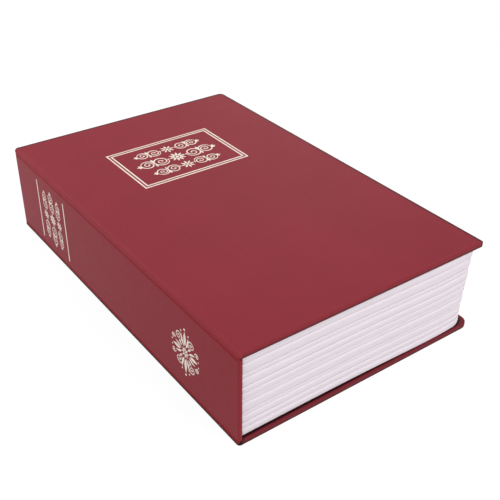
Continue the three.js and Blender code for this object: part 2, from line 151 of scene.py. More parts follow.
def atHeight(outline, z):
    return np.column_stack([outline, np.full(len(outline), z)])


def quarterRound(radius, steps=6):
    # (inset, drop) along a quarter circle from the side of a slab, round its edge, to its face
    angle = np.linspace(0, turn / 4, steps + 1)
    return np.stack([radius * (1 - np.cos(angle)), radius * (1 - np.sin(angle))], 1)


# Shading

class Wire:
    # a shader socket that does arithmetic, one Math node for each operation
    def __init__(self, nodes, socket):
        self.nodes = nodes
        self.socket = socket

    def join(self, operation, first, second, clamp=False):
        settings = {"operation": operation, "use_clamp": clamp}
        return self.nodes.add("ShaderNodeMath", settings, {0: first, 1: second})

    def __add__(self, other):
        return self.join("ADD", self, other)

    def __radd__(self, other):
        return self.join("ADD", other, self)

    def __sub__(self, other):
        return self.join("SUBTRACT", self, other)

    def __rsub__(self, other):
        return self.join("SUBTRACT", other, self)

    def __mul__(self, other):
        return self.join("MULTIPLY", self, other)

    def __rmul__(self, other):
        return self.join("MULTIPLY", other, self)

    def over(self, low, high):
        # 0 at low and 1 at high, clamped
        return self.join("MULTIPLY", self - low, 1 / (high - low), clamp=True)


class NodeTree:
    # the nodes of a material or a world
    def __init__(self, owner):
        owner.use_nodes = True
        self.tree = owner.node_tree

    def add(self, kind, settings=None, inputs=None, output=0):
        # the settings come first, because they can change which sockets a node has
        node = self.tree.nodes.new(kind)
        for key, value in (settings or {}).items():
            setattr(node, key, value)
        for key, value in (inputs or {}).items():
            if isinstance(value, Wire):
                self.tree.links.new(value.socket, node.inputs[key])
            else:
                node.inputs[key].default_value = value
        return Wire(self, node.outputs[output]) if node.outputs else None


class Finish(NodeTree):
    # one material round a Principled shader
    def __init__(self, name, **sockets):
        self.material = bpy.data.materials.new(name)
        super().__init__(self.material)
        self.shader = self.tree.nodes["Principled BSDF"]
        for key, value in sockets.items():
            self.shader.inputs[key.replace("_", " ")].default_value = value

    def place(self):
        return self.add("ShaderNodeTexCoord", output="Object")

    def stretch(self, place, scale):
        return self.add("ShaderNodeMapping", inputs={"Vector": place, "Scale": scale})

    def noise(self, place, scale, detail=2.0, rough=0.5):
        inputs = {"Vector": place, "Scale": scale, "Detail": detail, "Roughness": rough}
        return self.add("ShaderNodeTexNoise", inputs=inputs)

    def cells(self, place, scale):
        # the distance to the nearest edge between cells
        inputs = {"Vector": place, "Scale": scale}
        return self.add("ShaderNodeTexVoronoi", {"feature": "DISTANCE_TO_EDGE"}, inputs)

    def attribute(self, name):
        return self.add("ShaderNodeAttribute", {"attribute_name": name}, output="Fac")

    def mix(self, share, first, second):
        return self.add("ShaderNodeMix", {"data_type": "RGBA"}, {0: share, 6: first, 7: second}, output=2)

    def bump(self, height, strength, distance):
        inputs = {"Height": height, "Strength": strength, "Distance": distance}
        return self.add("ShaderNodeBump", inputs=inputs)

    def feed(self, **sockets):
        for key, wire in sockets.items():
            self.tree.links.new(wire.socket, self.shader.inputs[key.replace("_", " ")])
        return self.material


def paint(red, green, blue):
    return (red, green, blue, 1.0)


def leatherette():
    # Fine pressed grain on vinyl cloth, a little mottled. Marks on the mesh say where it is worn along an
    # edge, where a highlight is painted on the shoulder beside the spine, where shade is painted along edges,
    # by the spine and beneath the page block, and where it is creased, with a darker red painted partly as shade.
    look = {
        "face": paint(0.252, 0.021, 0.033),
        "dark": paint(0.218, 0.018, 0.029),
        "edge": paint(0.225, 0.015, 0.025),
        # painted highlight on the shoulder beside the spine
        "paintedHighlight": paint(0.254, 0.025, 0.037),
        # painted shade along edges, by the spine and under the page block
        "paintedShade": paint(0.020, 0.000, 0.001),
        # darker red in the crease, partly painted shade
        "crease": paint(0.235, 0.000, 0.006),
        "grainScale": 1500.0,
        "warpScale": 900.0,  # of the noise that bends the grain
        "warpReach": 0.0006,
        "poreScale": 5200.0,
        "blotchScale": 26.0,
        "speckScale": 420.0,
        "grainDepth": 0.00006,
    }
    cloth = Finish("redLeatherette", Specular_IOR_Level=0.17)
    place = cloth.place()
    inputs = {"Vector": place, "Scale": look["warpScale"]}
    bent = cloth.add("ShaderNodeTexNoise", inputs=inputs, output="Color")
    inputs = {0: bent, "Scale": look["warpReach"]}
    shift = cloth.add("ShaderNodeVectorMath", {"operation": "SCALE"}, inputs)
    warped = cloth.add("ShaderNodeVectorMath", {"operation": "ADD"}, {0: place, 1: shift})
    grain = cloth.cells(warped, look["grainScale"]).over(0.0, 0.28)
    pores = cloth.noise(place, look["poreScale"])
    blotch = cloth.noise(place, look["blotchScale"], 4.0, 0.6).over(0.35, 0.7)
    speck = cloth.noise(place, look["speckScale"], 3.0, 0.6).over(0.38, 0.72)
    edge = cloth.attribute("edge")
    shade = cloth.mix(blotch * 0.55 + speck * 0.45, look["dark"], look["face"])
    shade = cloth.mix(edge * 0.8, shade, look["edge"])
    # the painted highlight, the crease's partly painted shade, and the painted shade go on last
    for mark in ("paintedHighlight", "crease", "paintedShade"):
        shade = cloth.mix(cloth.attribute(mark), shade, look[mark])
    rough = 0.56 + (1 - grain) * 0.10 + speck * 0.06 - edge * 0.08
    normal = cloth.bump(grain * 0.75 + pores * 0.25, 0.35, look["grainDepth"])
    return cloth.feed(Base_Color=shade, Roughness=rough, Normal=normal)


def pagePlastic():
    # Off-white moulding with fine lines along the page edges. A darker tint is painted down in the grooves as
    # shade, and the foot under the lowest ridge is painted as dark as the shaded cloth beside it, as its shadow.
    look = {
        "face": paint(0.755, 0.685, 0.735),
        # painted shade for the grooves
        "groove": paint(0.53, 0.45, 0.50),
        # painted shadow under the lowest ridge
        "foot": paint(0.030, 0.002, 0.004),
        "footFrom": (1.5, 2.0),  # the groove marks between which the foot's painted shadow comes in
        "lineScale": (12.0, 12.0, 2600.0),
        "blotchScale": 45.0,
        "grainDepth": 0.00005,
    }
    plastic = Finish("pagePlastic", Specular_IOR_Level=0.35)
    place = plastic.place()
    sheets = plastic.noise(plastic.stretch(place, look["lineScale"]), 1.0, 3.0, 0.65)
    blotch = plastic.noise(place, look["blotchScale"], 3.0, 0.6)
    groove = plastic.attribute("groove")
    # painted shade in the grooves, with the page lines and blotches
    tint = groove * 0.25 + (1 - sheets.over(0.35, 0.6)) * 0.10 + blotch * 0.04
    shade = plastic.mix(tint, look["face"], look["groove"])
    # the foot painted dark as its shadow
    shade = plastic.mix(groove.over(*look["footFrom"]), shade, look["foot"])
    normal = plastic.bump(sheets, 0.25, look["grainDepth"])
    return plastic.feed(Base_Color=shade, Roughness=0.5 + sheets * 0.12, Normal=normal)


def blackPaint():
    # powder coat: soft orange peel, slightly uneven gloss
    look = {
        "dark": paint(0.012, 0.012, 0.013),
        "dusty": paint(0.024, 0.024, 0.026),
        "peelScale": 1100.0,
        "fineScale": 4200.0,
        "dustScale": 60.0,
        "peelDepth": 0.00008,
    }
    coat = Finish("blackPowderCoat", Specular_IOR_Level=0.5)
    place = coat.place()
    peel = coat.noise(place, look["peelScale"])
    fine = coat.noise(place, look["fineScale"], 2.0, 0.6)
    dust = coat.noise(place, look["dustScale"], 4.0, 0.65).over(0.45, 0.75)
    shade = coat.mix(dust * 0.6 + fine * 0.2, look["dark"], look["dusty"])
    rough = 0.40 + fine * 0.10 + dust * 0.10
    normal = coat.bump(peel * 0.8 + fine * 0.2, 0.4, look["peelDepth"])
    return coat.feed(Base_Color=shade, Roughness=rough, Normal=normal)


def platedSteel(name, bright, dull, roughness, streak):
    # bright plating with faint turning or rolling marks, drawn out sideways, and some dull spots
    look = {"streakStretch": 9, "hazeScale": 210.0, "markDepth": 0.00002}
    plate = Finish(name, Metallic=1.0)
    place = plate.place()
    drawn = plate.stretch(place, (streak, streak, streak * look["streakStretch"]))
    marks = plate.noise(drawn, 1.0, 3.0, 0.6)
    haze = plate.noise(place, look["hazeScale"], 3.0, 0.6).over(0.4, 0.75)
    shade = plate.mix(haze * 0.5 + marks * 0.2, bright, dull)
    rough = roughness + haze * 0.08 + marks * 0.06
    normal = plate.bump(marks, 0.12, look["markDepth"])
    return plate.feed(Base_Color=shade, Roughness=rough, Normal=normal)


def paper():
    # ivory endpaper with short fibres, slightly clouded
    look = {
        "ivory": paint(0.78, 0.735, 0.63),
        "aged": paint(0.70, 0.64, 0.52),
        "fibreScale": (900.0, 260.0, 900.0),
        "cloudScale": 34.0,
        "fibreDepth": 0.00004,
    }
    sheet = Finish("ivoryPaper", Specular_IOR_Level=0.2)
    place = sheet.place()
    fibres = sheet.noise(sheet.stretch(place, look["fibreScale"]), 1.0, 4.0, 0.7)
    cloud = sheet.noise(place, look["cloudScale"], 3.0, 0.6)
    shade = sheet.mix(fibres.over(0.3, 0.8) * 0.5 + cloud * 0.4, look["ivory"], look["aged"])
    normal = sheet.bump(fibres, 0.3, look["fibreDepth"])
    return sheet.feed(Base_Color=shade, Roughness=0.82 + fibres * 0.1, Normal=normal)


def greyboard():
    # pressed pulp, flecked dark and light
    look = {
        "dark": paint(0.20, 0.19, 0.17),
        "light": paint(0.36, 0.34, 0.31),
        "fleckScale": 900.0,
        "fleckDepth": 0.0001,
    }
    board = Finish("greyBoard", Specular_IOR_Level=0.1)
    flecks = board.noise(board.place(), look["fleckScale"], 4.0, 0.75)
    shade = board.mix(flecks.over(0.35, 0.65), look["dark"], look["light"])
    normal = board.bump(flecks, 0.4, look["fleckDepth"])
    return board.feed(Base_Color=shade, Roughness=0.85 + flecks * 0.1, Normal=normal)


def paleFoil():
    # cream hot foil, pressed on, with the cloth showing through in small breaks
    look = {
        "cream": paint(0.86, 0.765, 0.68),
        "cloth": paint(0.36, 0.09, 0.10),
        "grainScale": 1500.0,
        "wearScale": 240.0,
        "grainDepth": 0.00004,
    }
    foil = Finish("creamFoil", Specular_IOR_Level=0.4)
    place = foil.place()
    grain = foil.cells(place, look["grainScale"]).over(0.0, 0.12)
    wear = foil.noise(place, look["wearScale"], 3.0, 0.6).over(0.56, 0.72)
    gap = (1 - grain) * (0.25 + wear * 0.5)
    shade = foil.mix(gap, look["cream"], look["cloth"])
    normal = foil.bump(grain, 0.25, look["grainDepth"])
    return foil.feed(Base_Color=shade, Roughness=0.42 + gap * 0.2, Normal=normal)


zincPlate = {
    "bright": paint(0.60, 0.60, 0.57),
    "dull": paint(0.44, 0.45, 0.42),
    "roughness": 0.30,
    "streak": 700.0,
}
chromePlate = {
    "bright": paint(0.80, 0.81, 0.83),
    "dull": paint(0.66, 0.67, 0.69),
    "roughness": 0.10,
    "streak": 500.0,
}
finishes = {
    "leatherette": leatherette(),
    "page_plastic": pagePlastic(),
    "black_steel": blackPaint(),
    "zinc_steel": platedSteel("zincPlate", **zincPlate),
    "lock_chrome": platedSteel("chromePlate", **chromePlate),
    "endpaper": paper(),
    "greyboard": greyboard(),
    "foil": paleFoil(),
}
print("finishes:", ", ".join(finishes))


def finishPiece(piece, body, slot, *nodes):
    piece.data.materials.clear()
    piece.data.materials.append(finishes[slot])
    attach(piece, body)
    if nodes:
        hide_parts(*nodes)


# Book case

binding = {
    "cloth": 0.4,  # thickness of the leatherette
    "turnIn": 15.0,
    "innerRound": 0.5,  # radius of a cover's inner edge
    "outerRound": 0.6,  # radius of its face edge
    "innerWear": 0.8,
    "boardEase": 0.1,  # how far a board's edges are cut off
    "faceRows": (2.6, 2.1, 1.5, 0.75),  # insets of the rows on a cover's face
    "brim": 1.5,  # the face is shaded only within this of its edge
    "farBand": (1.95, 1.5),  # insets between which the far edges' shade comes in
    # shares of a cover's straight sides where points lie
    "nearEnds": (0.003, 0.007, 0.012, 0.025, 0.975, 0.988, 0.993, 0.997),
    "sideDrops": (0.75, 0.95, 1.2, 1.45, 1.66),  # rows down a cover's side, to just above the crease
    # inset of each row on the turn-in, the share of its shade there, and the gain of its fore radii
    "turnRows": ((0.8, 0.0, 0.0), (0.95, 0.2, 3.5), (1.3, 1.0, 5.0), (3.6, 1.0, 5.0)),
    "spineRound": 1.1,  # radius of the spine's upright edges
    "roundPoints": 7,  # on each round of the spine's skin and lips
    "creaseDepth": 0.32,
    "creaseReach": (0.5, 1.1),  # widths of the dent on the skin and on a lip
    "creaseFade": 2.4,  # width of the crease's darker red on a lip, partly painted shade
    "creaseSteps": (0.3, 0.6, 0.9, 1.3, 1.8, 2.6),  # from the start of a lip to the skin's rows
    "lipShares": (0.0, 0.16, 0.32, 0.48, 0.64, 0.8),  # of a lip's height, where its rows lie
    # distance from a lip's end, the share of the height there, and how far it draws in round the corner
    "lipEnds": ((0.2, 0.75, 0.28), (0.45, 0.95, 0.12), (0.9, 1.0, 0.0)),
    "lipTip": 0.03,  # height of a lip's rounded edge
}
# The radii at tail and head, of the fore edge and of the spine side; how the spine side leans and rounds
# in above the crease; the shades of face edge, crease, inner edge and turn-in; what the spine side adds
# to them, fading between two distances from it; and what the far edges add.
frontCover = {
    "corners": (1.4, 3.2),
    "spineCorners": (0.8, 0.8),
    "lean": 0.36,
    "shoulder": 0.8,
    "shades": (0.0, 0.245, 0.79, 0.0),
    "spineShade": -0.19,
    "spineReach": (0.7, 1.5),
    "farShade": 0.7,
}
backCover = {
    "corners": (5.2, 4.0),
    "spineCorners": (1.8, 0.5),
    "lean": 0.0,
    "shoulder": 0.3,
    "shades": (0.88, 0.40, 0.38, 1.0),
    "spineShade": 0.55,
    "spineReach": (1.2, 3.6),
    "farShade": 0.0,
}


def coverRows(look, thick, board):
    # The section of a cover's skin, from the middle of its face round to the inside. A row is an inset, a
    # height above the inner face, how far the spine side lies in from the crease line, the wear, the painted
    # shade, and the gain of the fore corners' radii, which lets the painted shade beneath the cover follow the
    # page block. Above the crease, the spine side leans in by a share of its height and rounds over in a
    # quarter ellipse. Gives the rows, how many of them are outside, and how many can be seen.
    cloth, deep, worn = binding["cloth"], binding["turnIn"], binding["innerWear"]
    bend, flat = binding["outerRound"], binding["faceRows"][0]
    faceShade, creaseShade, innerShade, turnShade = look["shades"]
    outer = [(inset, 0.0) for inset in binding["faceRows"]] + list(quarterRound(bend)[::-1])
    outer += [(0.0, drop) for drop in binding["sideDrops"]]
    rows = []
    for inset, drop in outer:
        rise = creaseDrop - drop
        reach = look["lean"] * rise + look["shoulder"] * (1 - math.sqrt(1 - (rise / creaseDrop) ** 2))
        reach = max(reach, inset) if drop else look["lean"] * creaseDrop + look["shoulder"] + inset
        wear = np.interp(inset, [bend, flat], [1.0, 0.0])
        shade = np.interp(drop, [bend, creaseDrop], [faceShade, creaseShade]) * (inset < binding["brim"])
        rows.append((inset, thick - drop, reach, wear, shade, 0.0))
    rows.append((0.0, thick - creaseDrop, board, worn, creaseShade, 0.0))
    for inset, height in quarterRound(binding["innerRound"], steps=4):
        rows.append((inset, height, board + inset, worn, innerShade, 0.0))
    for inset, share, gain in binding["turnRows"]:
        shade = innerShade + (turnShade - innerShade) * share
        rows.append((inset, 0.0, board + inset, worn * (1 - share), shade, gain))
    seen = len(rows)
    for inset, height in ((deep, 0.0), (deep, cloth), (cloth, cloth), (cloth, thick - cloth)):
        rows.append((inset, height, board + inset, 0.0, 0.0, 0.0))
    return rows, len(outer), seen


def coverCloth(name, low, high, look, faceUp):
    # Leatherette round a cover board, as one skin: outer face, round edge, side, inner edge, turn-in, and
    # back inside against the board. Each row of its section is a rounded outline at its own height.
    rows, outside, seen = coverRows(look, high[2] - low[2], low[0] - spineLow[0])
    rings, edge, paintedHighlight, paintedShade = [], [], [], []
    for row, (inset, height, reach, wear, shade, gain) in enumerate(rows):
        plan = {"xMin": spineLow[0] + reach - inset, "xMax": high[0], "half": high[1]}
        plan.update(spineRadius=look["spineCorners"], foreRadius=np.add(look["corners"], gain))
        outline = roundedOutline(plan, inset, [binding["nearEnds"]] * 4)
        ring = atHeight(outline, low[2] + height if faceUp else high[2] - height)
        nearSpine = np.interp(ring[:, 0] - low[0], look["spineReach"], [1, 0]) * (row < seen)
        far = np.maximum(ring[:, 0] - high[0], ring[:, 1] - high[1])
        far = np.interp(far, np.negative(binding["farBand"]), [0, 1]) * (row < outside)
        rings.append(ring)
        # beside the spine the wear gives way to a painted highlight; painted shade sums the row's, the spine
        # side's and the far edges'
        edge.append(wear * (1 - nearSpine))
        paintedHighlight.append(nearSpine)
        paintedShade.append(shade + look["spineShade"] * nearSpine + look["farShade"] * far)
    points, faces = loft(np.array(rings))
    marks = {"edge": np.concatenate(edge), "paintedHighlight": np.concatenate(paintedHighlight), "paintedShade": np.concatenate(paintedShade)}
    return addMesh(name, points, faces, **marks)


def backPasteboard():
    # the board in the back cover: a slab with eased edges, whose corners are rounded as the cloth's are
    low, high = cad("back_board")
    margin, ease = backHigh[0] - high[0], binding["boardEase"]
    plan = {"xMin": low[0], "xMax": high[0], "half": high[1]}
    plan.update(spineRadius=np.maximum(np.subtract(backCover["spineCorners"], margin), ease))
    plan.update(foreRadius=np.subtract(backCover["corners"], margin))
    levels = [(ease, low[2]), (0.0, low[2] + ease), (0.0, high[2] - ease), (ease, high[2])]
    points, faces = loft(np.array([atHeight(roundedOutline(plan, inset), z) for inset, z in levels]))
    return addMesh("backPasteboard", points, faces)


def lipShell(half, near, far):
    # a strip of cloth from one height to another, whose free edge is a half ellipse
    outerX, radius = spineLow[0], binding["cloth"] / 2
    tip = np.sign(far - near) * binding["lipTip"]
    angle = turn * np.linspace(-0.25, 0.25, binding["roundPoints"])
    rise = near + (far - near) * np.array(binding["lipShares"])
    side = np.full(len(rise), outerX)
    x = np.concatenate([side, outerX + radius + radius * np.sin(angle), [outerX + 2 * radius]])
    z = np.concatenate([rise, far - tip + tip * np.cos(angle), [near]])
    ends = np.array(binding["lipEnds"])
    places = np.concatenate([ends, ends[::-1]])
    places[:, 0] = np.concatenate([ends[:, 0] - half, half - ends[::-1, 0]])
    rings = []
    for y, share, drawn in places:
        rings.append(np.column_stack([x + drawn, np.full(len(x), y), near + (z - near) * share]))
    return loft(np.array(rings))


def spineCloth():
    # The spine's skin, turned in round the board at head and tail. Its section in X and Y has
    # quarter-circle corners and is carried straight up, and a thin lip runs on beside each cover. Where
    # a lip starts the skin is creased, as deep as a bell curve of the height.
    cloth, radius, deep = binding["cloth"], binding["spineRound"], binding["turnIn"]
    outerX, innerX, half = spineLow[0], spineHigh[0], spineHigh[1]
    angle = turn * np.linspace(0, 0.25, binding["roundPoints"])
    bend = radius * np.column_stack([np.cos(angle), np.sin(angle)])
    innerBend = np.array([innerX - radius, half - radius]) + bend
    outerBend = np.array([outerX + radius, half - radius]) + bend[::-1] * np.array([-1, 1])
    outside = np.concatenate([[[innerX, half - deep]], innerBend, outerBend])
    inner = innerX - cloth
    inside = np.array([(outerX + cloth, half - cloth), (inner, half - cloth), (inner, half - deep)])
    flip = np.array([1, -1])
    section = np.concatenate([outside, (outside * flip)[::-1], (inside * flip)[::-1], inside])
    boardLow, boardHigh = cad("spine_board")
    bottom, top = boardLow[2] - cloth, boardHigh[2] + cloth
    levels = [bottom] + [bottom + step for step in binding["creaseSteps"]]
    levels += [top - step for step in binding["creaseSteps"][::-1]] + [top]
    shells = [loft(np.array([atHeight(section, z) for z in levels]))]
    shells.append(lipShell(half, top, creaseHeight))
    shells.append(lipShell(half, bottom, backLow[2] + creaseDrop))
    points, faces = joinShells(shells)
    above = np.maximum(points[:, 2] - top, bottom - points[:, 2])
    dent = np.exp(-(above / np.where(above < 0, *binding["creaseReach"])) ** 2)
    dent *= np.interp(points[:, 0], [outerX, outerX + cloth / 2], [1, 0])
    points[:, 0] += binding["creaseDepth"] * dent
    # the crease's darker red, partly painted shade, in the dent and fading up each lip
    crease = np.where(above > 0, np.exp(-(above / binding["creaseFade"]) ** 2), dent)
    edge = np.interp(np.abs(points[:, 1]), [half - 2 * radius, half - radius / 2], [0, 1])
    return addMesh("spineCloth", points, faces, edge=edge, crease=crease)


frontCloth = coverCloth("frontCloth", coverLow, coverHigh, frontCover, True)
backCloth = coverCloth("backCloth", backLow, backHigh, backCover, False)
finishPiece(frontCloth, "front_cover", "leatherette", "front_wrap")
finishPiece(backCloth, "case", "leatherette", "back_wrap")
finishPiece(backPasteboard(), "case", "greyboard", "back_board")
finishPiece(spineCloth(), "case", "leatherette", "spine_wrap")
print("book case dressed")


# Page block

pageEdges = {
    # of the ridges, the lowest first
    "heightShares": (8.8, 7.2, 9.2, 4.3, 11.5, 5.2, 8, 8, 10.6, 5.2, 12.8, 10.7),
    "reachShares": (1, 0.8, 0.75, 0.5, 0.8, 0.5, 0.8, 0.85, 0.9, 0.6, 0.85, 1),
    "rowsPerRidge": 12,
    "fullness": 6,  # the power that squares a ridge's section
    "grooveDepth": 1.2,
    "tintFade": 3.2,  # how fast a groove's painted shade fades up the swell of a ridge
    "plinthInset": 3.0,
    "plinthHeight": 0.05,
    "plinthMark": 3.0,  # the groove mark that the finish paints dark as the foot's shadow
    "endOverhang": 1.6,
    "bow": 1.4,
    "bowPeak": 3.5,
    "cornerRadii": (10.4, 6.0),  # at the foot and at the top
    "spineRadius": 1.0,
    "sidePoints": (42, 28),  # along the fore and spine sides, and along head and tail
    "rim": 0.35,  # radius of the edges at the top
    "rimInset": 0.72,
    "roughCut": 0.035,
    "cutFrom": 0.2,  # the swell above which a ridge is cut rough
    "seed": 4,
    "wander": 0.10,
    "waves": ((3, 1.0), (7, 0.6)),  # how many go round the block, and their sizes
    "waveReach": 1.6,
}
# how far the well lies in from the block's sides, and the radii of its corners
wellEdge = {"fore": 12.1, "end": 11.8, "spine": 8.65, "foreRadius": 4.4, "spineRadius": 1.0}


def wander(outside, floors, draw):
    # How far each groove drifts up and down along its length, as a sum of slow waves. It fades away from
    # the groove as a bell curve, and foot and top stay level.
    level = outside[..., 2]
    along = np.linspace(0, turn, outside.shape[1], endpoint=False)
    waves = pageEdges["waves"]
    shift = np.zeros_like(level)
    for floor in floors[1:-1]:
        phases = draw.uniform(0, turn, len(waves))
        wave = sum(size * np.sin(count * along + phase) for (count, size), phase in zip(waves, phases))
        near = np.exp(-((level - floor) / pageEdges["waveReach"]) ** 2)
        shift += pageEdges["wander"] * near * wave
    return shift


def pageBlock():
    # Moulded page edges as one closed surface. Up the outside, each ridge swells as one minus a high power
    # of the distance from its middle, and the corners' radii shrink evenly with the height; then over the
    # rim, down the well and back under. Each row is an inset, a height and a groove mark.
    look = pageEdges
    draw = np.random.default_rng(look["seed"])
    bottom, top = pagesLow[2], pagesHigh[2]
    foot = bottom + look["plinthHeight"]
    shares = np.array(look["heightShares"], float)
    floors = foot + (top - foot) * np.concatenate([[0], np.cumsum(shares)]) / shares.sum()
    plinth = [(look["plinthInset"], z, look["plinthMark"]) for z in (bottom, foot)]
    ridges = []
    step = (1 - np.cos(math.pi * np.arange(look["rowsPerRidge"]) / look["rowsPerRidge"])) / 2
    for ridge, reach in enumerate(look["reachShares"]):
        swell = reach * (1 - np.abs(2 * step - 1) ** look["fullness"])
        cut = look["roughCut"] * draw.uniform(0, 1, len(step)) * (swell > look["cutFrom"])
        height = floors[ridge] + (floors[ridge + 1] - floors[ridge]) * step
        # the groove mark: how much painted shade the finish puts there, most deep in a groove
        groove = np.clip(1 - swell / reach * look["tintFade"], 0, 1)
        ridges += list(zip(look["grooveDepth"] * (1 - swell) + cut, height, groove))
    brink = quarterRound(look["rim"], steps=4)
    rim = [(look["rimInset"] + inset, top - drop, 0.0) for inset, drop in brink]
    inner = [(-inset, top - drop, 0.0) for inset, drop in brink[::-1]] + [(0.0, bottom, 0.0)]
    half = coverHigh[1] - look["endOverhang"]
    plan = {"xMin": pagesLow[0], "xMax": pagesHigh[0], "half": half, "flatSpine": True}
    plan.update({key: look[key] for key in ("spineRadius", "bow", "bowPeak")})
    well = {"xMin": pagesLow[0] + wellEdge["spine"], "xMax": pagesHigh[0] - wellEdge["fore"]}
    well.update(half=half - wellEdge["end"])
    well.update({key: wellEdge[key] for key in ("foreRadius", "spineRadius")})
    along = [np.linspace(0, 1, count)[1:-1] for count in look["sidePoints"] * 2]
    rings, tint = [], []
    for source, rows in ((plan, plinth + ridges + rim), (well, inner)):
        for inset, z, groove in rows:
            if source is plan:
                plan["foreRadius"] = np.interp(z, [foot, top], look["cornerRadii"])
            ring = atHeight(roundedOutline(source, inset, along), z)
            rings.append(ring)
            tint.append(np.full(len(ring), groove))
    rings = np.array(rings)
    # all rows of the ridges but the highest, which stays level as the rim does
    outside = rings[len(plinth):len(plinth) + len(ridges) - 1]
    outside[..., 2] += wander(outside, floors, draw)
    points, faces = loft(rings, closed=True)
    return addMesh("pageBlock", points, faces, groove=np.concatenate(tint))


finishPiece(pageBlock(), "case", "page_plastic", "page_frame")
print("page block dressed")


# Steel box, lid and lock

steelEdges = {
    "mergeGap": 2e-6,  # in metres
    "flatAngle": 0.6,  # in degrees, below which two faces are made one
    "segments": 2,
}
# name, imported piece, width of its eased edges, body and slot
steelPieces = [
    ("trayShell", "cash_tray", 0.18, "case", "black_steel"),
    ("strikeAngle", "lock_strike", 0.15, "case", "black_steel"),
    ("lidShell", "lid_panel", 0.18, "lid", "black_steel"),
    ("hingeRod", "hinge_pin", 0.15, "case", "zinc_steel"),
    ("lockBarrel", "lock_body", 0.12, "lid", "lock_chrome"),
    ("barrelWasher", "lock_washer", 0.12, "lid", "zinc_steel"),
    ("barrelNut", "lock_nut", 0.15, "lid", "zinc_steel"),
    ("keyPlug", "lock_plug", 0.10, "lock_plug", "lock_chrome"),
    ("camPlate", "lock_cam", 0.15, "lock_plug", "zinc_steel"),
    ("camDisc", "cam_washer", 0.10, "lock_plug", "zinc_steel"),
    ("camBolt", "cam_screw", 0.10, "lock_plug", "zinc_steel"),
]


def finerCopy(name, node, bevel):
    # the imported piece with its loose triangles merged, flat faces made whole and its edges eased
    mesh = frame["nodes"][node].data.copy()
    mesh.name = name
    shell = bmesh.new()
    shell.from_mesh(mesh)
    bmesh.ops.remove_doubles(shell, verts=shell.verts, dist=steelEdges["mergeGap"])
    flat = math.radians(steelEdges["flatAngle"])
    bmesh.ops.dissolve_limit(shell, angle_limit=flat, verts=shell.verts, edges=shell.edges)
    shell.to_mesh(mesh)
    shell.free()
    piece = addObject(name, mesh)
    ease = piece.modifiers.new("ease", "BEVEL")
    ease.width = bevel * mm
    ease.segments = steelEdges["segments"]
    ease.limit_method = "ANGLE"
    ease.angle_limit = math.radians(sharpAngle)
    ease.use_clamp_overlap = True
    mesh.shade_smooth()
    mesh.set_sharp_from_angle(angle=math.radians(sharpAngle))
    return piece


for name, node, bevel, body, slot in steelPieces:
    finishPiece(finerCopy(name, node, bevel), body, slot, node)
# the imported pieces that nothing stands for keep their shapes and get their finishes
for row in frame["record"]["subparts"]:
    node = frame["nodes"][row["node"]]
    for held in node.material_slots:
        held.material = finishes[row["material_slot"]]
print("steel pieces dressed, boards and linings finished")


# Foil tooling

tooling = {
    "rise": 0.05,  # of the lowest layer, above the cloth
    "sink": 0.02,  # of its underside, below the face of the cloth
    "layerGain": 0.04,  # share of that rise that each layer adds
    "layers": 7,
    "topShare": 0.86,  # of a ribbon's width
    "rulePoints": 5,
    "ruleEase": 0.07,
    "sharp": 60,  # in degrees
    "dotPoints": 13,
    "dotShare": 0.995,  # of a dot's radius that its ribbon reaches
    "curlPoints": 46,
    "curlClosing": 0.84,
    "curlTail": 0.55,  # share of its width that a spiral keeps
    "curlDot": 0.75,  # radius in widths
    "leafPoints": 15,
    "leafTip": 0.06,  # width of a leaf's tip
    "leafPowers": (0.8, 0.9),
    "heartShare": 0.27,  # of a rosette's radius, where its petals start
    "heartDot": 0.75,  # radius of the dot inside, as a share of that
}
stem = {
    "radiusShares": (0.46, 0.42),  # of the row's height
    "points": 30,
    "swell": (0.04, 0.96),  # the part of a half wave that its width follows
    "swellPower": 0.6,
    "rootDot": 0.7,
    "spiralTurns": 1.45,
    # at the fork: place in first radii, direction, length in first radii, width in stem widths
    "forkLeaves": ((0.30, 0.25, 0.75, 1.7), (-0.40, 0.75, 0.62, 1.5)),
    # at the end: direction, length in second radii, bend
    "endLeaves": ((0.0, 0.72, 0.0), (0.13, 0.6, 0.08), (-0.13, 0.6, -0.08)),
    "endWidth": 1.5,
}
# A row is a flower (radius, petals, petal width), a running scroll (height, weight), and where it starts.
coverDesign = {
    "ruleWidth": 0.95,
    "ruleGap": 1.1,
    "panelWidth": 71.8,
    "panelHeight": 48.8,
    "panelDrop": 67.2,  # from the head to the panel's middle
    "panelShift": -0.9,
    "middleRow": {"flower": (5.4, 10, 1.4), "scroll": (10.4, 0.9), "start": 6.4},
    "outerRow": {"flower": (4.4, 8, 1.2), "scroll": (8.8, 0.8), "start": 5.3},
    "rowRise": 12.0,
}
spineDesign = {
    "ruleWidth": 1.1,
    "ruleDrops": (30.6, 66.2),  # from the head
    "ruleSpan": (8.3, 47.8),  # down from the front cover's face
    "middleRow": {"flower": (3.9, 10, 1.0), "scroll": (7.0, 0.62), "start": 4.6},
    "outerRow": {"flower": (3.2, 8, 0.9), "scroll": (6.2, 0.56), "start": 3.8},
    "rowRise": 8.8,
}
